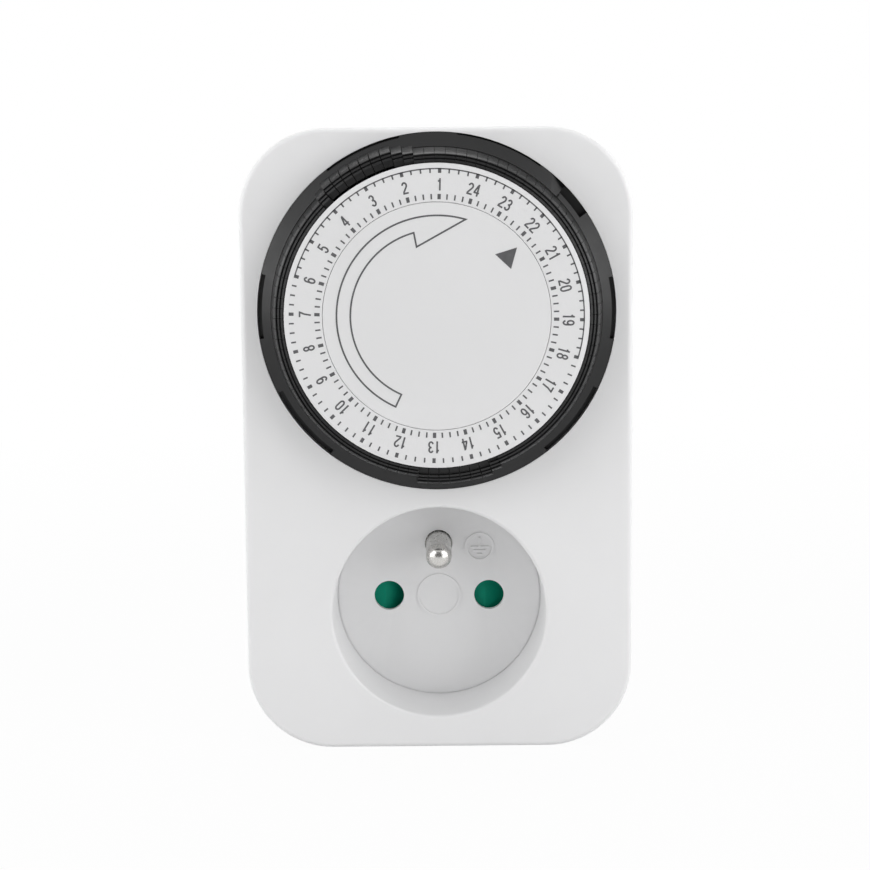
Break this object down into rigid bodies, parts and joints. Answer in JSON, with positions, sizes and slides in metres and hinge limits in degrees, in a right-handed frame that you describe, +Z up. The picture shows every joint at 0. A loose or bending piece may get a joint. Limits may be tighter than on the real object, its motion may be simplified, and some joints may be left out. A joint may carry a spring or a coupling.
{
  "type": "plug-in timer switch",
  "caption": "White upright plug-in time switch: pass-through socket with earth pin below, large turning dial with captive tappets above, round earthed plug on the back.",
  "frame": {"origin": "centre of the plug's front face, midway between its two pins", "axes": "+Y along the plug pins into the wall, +Z up, +X to the right seen from the front (-Y side)"},
  "size_m": [0.071, 0.0779, 0.1143],
  "materials": {
    "white_plastic": "fine satin moulding",
    "dark_plastic": "satin",
    "tappet_plastic": "satin",
    "green_plastic": "semi gloss",
    "nickel": "polished nickel plate",
    "brass_sheet": "rolled sheet",
    "screw_steel": "zinc plated",
    "motor_steel": "zinc plated sheet",
    "inner_plastic": "natural moulding",
    "gear_plastic": "natural acetal",
    "copper_wire": "enamelled wire",
    "magnet": "bonded ferrite",
    "lead_sleeve": "PVC sleeve"
  },
  "bodies": {
    "housing": {"front_cover": "white_plastic", "rear_cover": "white_plastic", "housing_screws": "screw_steel", "line_pin": "nickel", "neutral_pin": "nickel", "earth_sleeve": "brass_sheet", "earth_clips": "nickel", "earth_pin": "nickel", "earth_bar": "brass_sheet", "neutral_contact": "brass_sheet", "load_contact": "brass_sheet", "line_bar": "brass_sheet", "shutter_spring": "screw_steel", "contact_carrier": "inner_plastic", "dial_bezel": "dark_plastic", "centre_disc": "white_plastic", "mechanism_plate": "inner_plastic", "plate_screws": "screw_steel", "dial_screw": "screw_steel", "gear_arbors": "screw_steel", "motor_cover": "motor_steel", "motor_case": "motor_steel", "motor_screws": "screw_steel", "coil_bobbin": "inner_plastic", "coil_winding": "copper_wire", "stator_claws": "motor_steel", "terminal_block": "inner_plastic", "motor_leads": "lead_sleeve"},
    "dial": {"dial_carrier": "dark_plastic", "number_ring": "white_plastic", "tappets_off": "tappet_plastic", "tappets_on": "tappet_plastic"},
    "shutter": {"socket_shutter": "green_plastic"},
    "drive": {"drive_gear": "gear_plastic"},
    "reduction": {"reduction_gear": "gear_plastic"},
    "motor_output": {"motor_pinion": "gear_plastic"},
    "rotor": {"rotor_magnet": "magnet", "rotor_shaft": "screw_steel"},
    "pawl": {"ratchet_pawl": "gear_plastic"},
    "plunger": {"switch_plunger": "gear_plastic"},
    "blade": {"moving_blade": "brass_sheet"},
    "tappet_01": {"tappet_01": "tappet_plastic"},
    "tappet_02": {"tappet_02": "tappet_plastic"},
    "tappet_03": {"tappet_03": "tappet_plastic"},
    "tappet_04": {"tappet_04": "tappet_plastic"},
    "tappet_05": {"tappet_05": "tappet_plastic"},
    "tappet_06": {"tappet_06": "tappet_plastic"},
    "tappet_07": {"tappet_07": "tappet_plastic"},
    "tappet_08": {"tappet_08": "tappet_plastic"}
  },
  "joints": [
    {"name": "dial_spin", "type": "hinge", "parent": "housing", "child": "dial", "pos_m": [0, -0.052, 0.05552], "axis": [0, 1, 0], "continuous": true},
    {"name": "tappet_01_slide", "type": "slide", "parent": "dial", "child": "tappet_01", "axis": [0.3909, 0.666, 0.6353], "range_m": [0, 0.00188]},
    {"name": "tappet_02_slide", "type": "slide", "parent": "dial", "child": "tappet_02", "axis": [0.4316, 0.666, 0.6084], "range_m": [0, 0.00188]},
    {"name": "tappet_03_slide", "type": "slide", "parent": "dial", "child": "tappet_03", "axis": [0.4704, 0.666, 0.5789], "range_m": [0, 0.00188]},
    {"name": "tappet_04_slide", "type": "slide", "parent": "dial", "child": "tappet_04", "axis": [0.5073, 0.666, 0.5469], "range_m": [0, 0.00188]},
    {"name": "tappet_05_slide", "type": "slide", "parent": "dial", "child": "tappet_05", "axis": [0.542, 0.666, 0.5125], "range_m": [0, 0.00188]},
    {"name": "tappet_06_slide", "type": "slide", "parent": "dial", "child": "tappet_06", "axis": [0.5743, 0.666, 0.476], "range_m": [0, 0.00188]},
    {"name": "tappet_07_slide", "type": "slide", "parent": "dial", "child": "tappet_07", "axis": [0.6042, 0.666, 0.4374], "range_m": [0, 0.00188]},
    {"name": "tappet_08_slide", "type": "slide", "parent": "dial", "child": "tappet_08", "axis": [0.6316, 0.666, 0.3969], "range_m": [0, 0.00188]},
    {"name": "shutter_slide", "type": "slide", "parent": "housing", "child": "shutter", "axis": [-1, 0, 0], "range_m": [0, 0.0055], "stiffness_N_per_m": 120, "springref_m": -0.002, "deforming": ["shutter_spring"]},
    {"name": "drive_spin", "type": "hinge", "parent": "housing", "child": "drive", "pos_m": [-0.01393, -0.046, 0.04577], "axis": [0, 1, 0], "continuous": true},
    {"name": "reduction_spin", "type": "hinge", "parent": "housing", "child": "reduction", "pos_m": [-0.00433, -0.044, 0.03856], "axis": [0, 1, 0], "continuous": true},
    {"name": "motor_output_spin", "type": "hinge", "parent": "housing", "child": "motor_output", "pos_m": [0.00663, -0.042, 0.04206], "axis": [0, 1, 0], "continuous": true},
    {"name": "rotor_spin", "type": "hinge", "parent": "housing", "child": "rotor", "pos_m": [0, -0.035, 0.05], "axis": [0, 1, 0], "continuous": true},
    {"name": "pawl_click", "type": "hinge", "parent": "housing", "child": "pawl", "pos_m": [-0.02114, -0.0468, 0.07326], "axis": [0, -1, 0], "range_deg": [0, 6], "stiffness_Nm_per_rad": 0.002, "springref_deg": -2.86},
    {"name": "plunger_slide", "type": "slide", "parent": "housing", "child": "plunger", "axis": [0, 1, 0], "range_m": [0, 0.00125], "stiffness_N_per_m": 300, "springref_m": -0.0008},
    {"name": "blade_flex", "type": "hinge", "parent": "housing", "child": "blade", "pos_m": [0.02184, -0.03785, 0.0461], "axis": [-1, 0, 0], "range_deg": [0, 2.7]}
  ],
  "couplings": [
    {"joint": "drive_spin", "follows": "dial_spin", "ratio": 6.6667},
    {"joint": "reduction_spin", "follows": "dial_spin", "ratio": -25.333},
    {"joint": "motor_output_spin", "follows": "dial_spin", "ratio": 91.2},
    {"joint": "blade_flex", "follows": "plunger_slide", "rad_per_m": 36.895}
  ]
}
